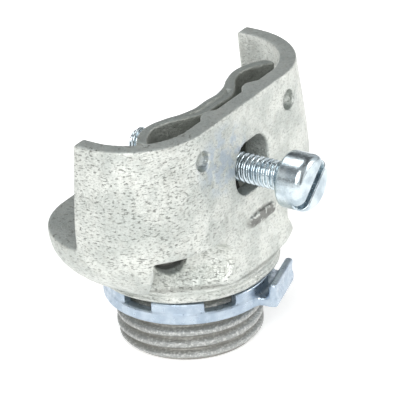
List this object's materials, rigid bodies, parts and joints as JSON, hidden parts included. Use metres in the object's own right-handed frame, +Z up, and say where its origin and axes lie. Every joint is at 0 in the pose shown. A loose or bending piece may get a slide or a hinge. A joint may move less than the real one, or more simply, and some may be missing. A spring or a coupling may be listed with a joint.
{
  "type": "duplex squeeze connector",
  "caption": "Die-cast duplex squeeze connector: C-shaped wall and wavy saddle clamp two flexible conduits above a threaded knockout nipple with a lugged locknut.",
  "frame": {"origin": "centre of the open rim of the threaded nipple", "axes": "+Z up the nipple axis towards the conduit clamp, +X along the long side of the oval body, -Y out of the front wall towards the screw head"},
  "size_m": [0.0452, 0.0352, 0.0378],
  "materials": {
    "cast_zinc": "satin, as-cast zinc with fine pits",
    "cast_zinc_saddle": "satin, as-cast zinc",
    "bright_zinc": "bright zinc plating",
    "blue_zinc": "light blue zinc plating"
  },
  "bodies": {
    "body": {"body_casting": "cast_zinc"},
    "saddle": {"clamp_saddle": "cast_zinc_saddle"},
    "screw": {"clamp_screw": "bright_zinc"},
    "nut": {"locknut": "blue_zinc"}
  },
  "joints": [
    {"name": "saddle_slide", "type": "slide", "parent": "body", "child": "saddle", "axis": [0, 1, 0], "range_m": [-0.0004, 0.0056]},
    {"name": "screw_turn", "type": "hinge", "parent": "saddle", "child": "screw", "pos_m": [0, 0, 0.028], "axis": [0, 1, 0], "continuous": true},
    {"name": "locknut_turn", "type": "hinge", "parent": "body", "child": "nut", "pos_m": [0, 0, 0.009], "axis": [0, 0, 1], "continuous": true}
  ]
}
